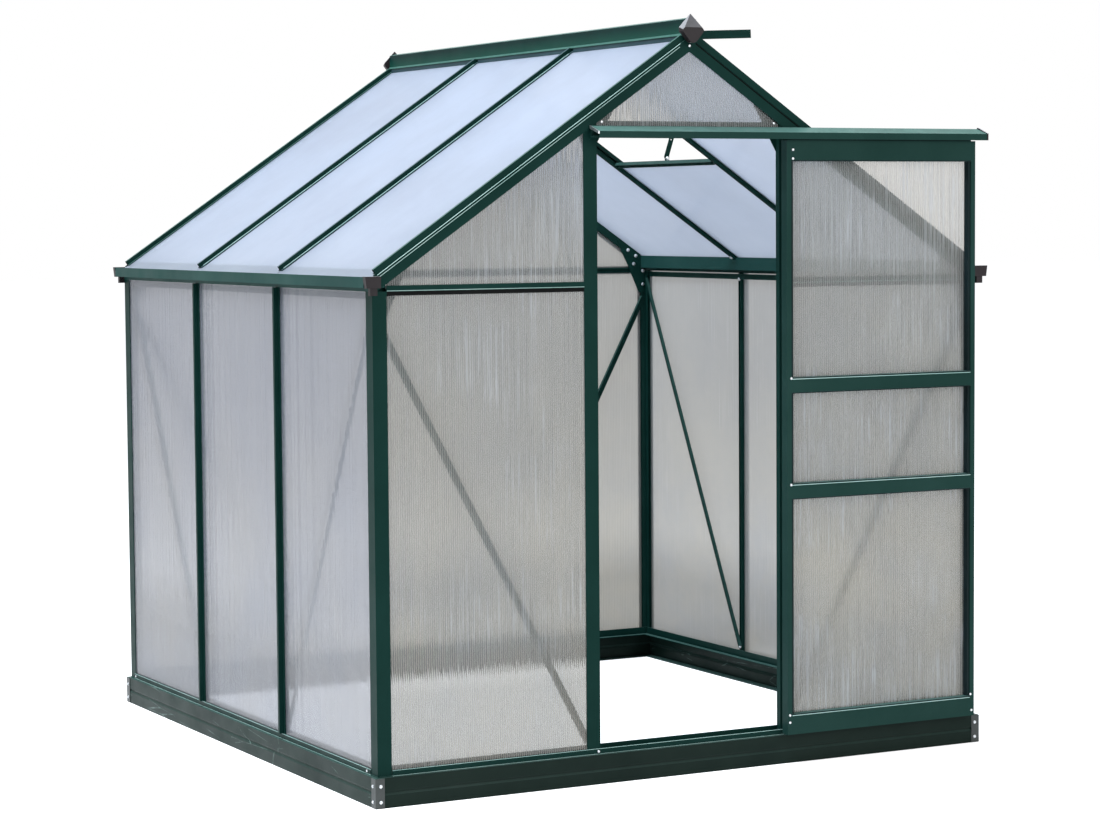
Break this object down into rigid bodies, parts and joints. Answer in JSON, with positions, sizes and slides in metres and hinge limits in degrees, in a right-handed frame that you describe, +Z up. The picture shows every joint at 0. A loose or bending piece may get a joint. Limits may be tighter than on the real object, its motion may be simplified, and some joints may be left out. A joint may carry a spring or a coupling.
{
  "type": "polycarbonate greenhouse",
  "caption": "Small gabled greenhouse with a green aluminium frame, twin-wall polycarbonate sheets, a sliding front door, an open roof vent, gutters and a folded steel base.",
  "frame": {"origin": "middle of the base's footprint at ground level, the middle of the four anchor holes", "axes": "+Z up, the front gable with its door faces -Y, the ridge runs along Y and the door slides along X"},
  "size_m": [1.924, 1.9445, 2.0545],
  "materials": {
    "frame_green": "dark green powder coat, satin",
    "base_green": "dark green paint on folded steel, slightly scratched",
    "bracket": "grey painted steel",
    "grey_plastic": "dark grey moulded plastic",
    "twin_wall_sheet": "translucent twin-wall sheet with vertical flutes",
    "zinc": "bright zinc"
  },
  "bodies": {
    "greenhouse": {"base_front": "base_green", "base_back": "base_green", "base_left": "base_green", "base_right": "base_green", "base_corner_brackets": "bracket", "sill_front": "frame_green", "sill_back": "frame_green", "sill_left": "frame_green", "sill_right": "frame_green", "corner_posts": "frame_green", "wall_bars_left": "frame_green", "wall_bars_right": "frame_green", "wall_bars_back": "frame_green", "door_jambs": "frame_green", "door_header": "frame_green", "gable_bars_front": "frame_green", "gable_bars_back": "frame_green", "gutter_left": "frame_green", "gutter_right": "frame_green", "side_rails": "frame_green", "rafters_front": "frame_green", "rafters_back": "frame_green", "roof_bars_left": "frame_green", "roof_bars_right": "frame_green", "ridge": "frame_green", "gussets_front": "frame_green", "gussets_back": "frame_green", "braces_left": "frame_green", "braces_right": "frame_green", "braces_front": "frame_green", "braces_back": "frame_green", "vent_side_rails": "frame_green", "vent_end_rails": "frame_green", "vent_transom": "frame_green", "vent_stay": "frame_green", "door_track": "frame_green", "track_brackets": "frame_green", "gutter_end_caps": "grey_plastic", "ridge_end_caps": "grey_plastic", "track_end_cap": "grey_plastic", "panels_left": "twin_wall_sheet", "panels_right": "twin_wall_sheet", "panels_front": "twin_wall_sheet", "panels_back": "twin_wall_sheet", "panels_roof_left": "twin_wall_sheet", "panels_roof_right": "twin_wall_sheet", "vent_panel": "twin_wall_sheet", "track_clip": "zinc"},
    "door": {"door_stiles": "frame_green", "door_end_rails": "frame_green", "door_mid_rails": "frame_green", "door_panels": "twin_wall_sheet", "door_hangers": "zinc", "door_rollers": "grey_plastic", "door_guides": "grey_plastic"}
  },
  "joints": [
    {"name": "door_slide", "type": "slide", "parent": "greenhouse", "child": "door", "axis": [1, 0, 0], "range_m": [-0.577, 0]}
  ]
}
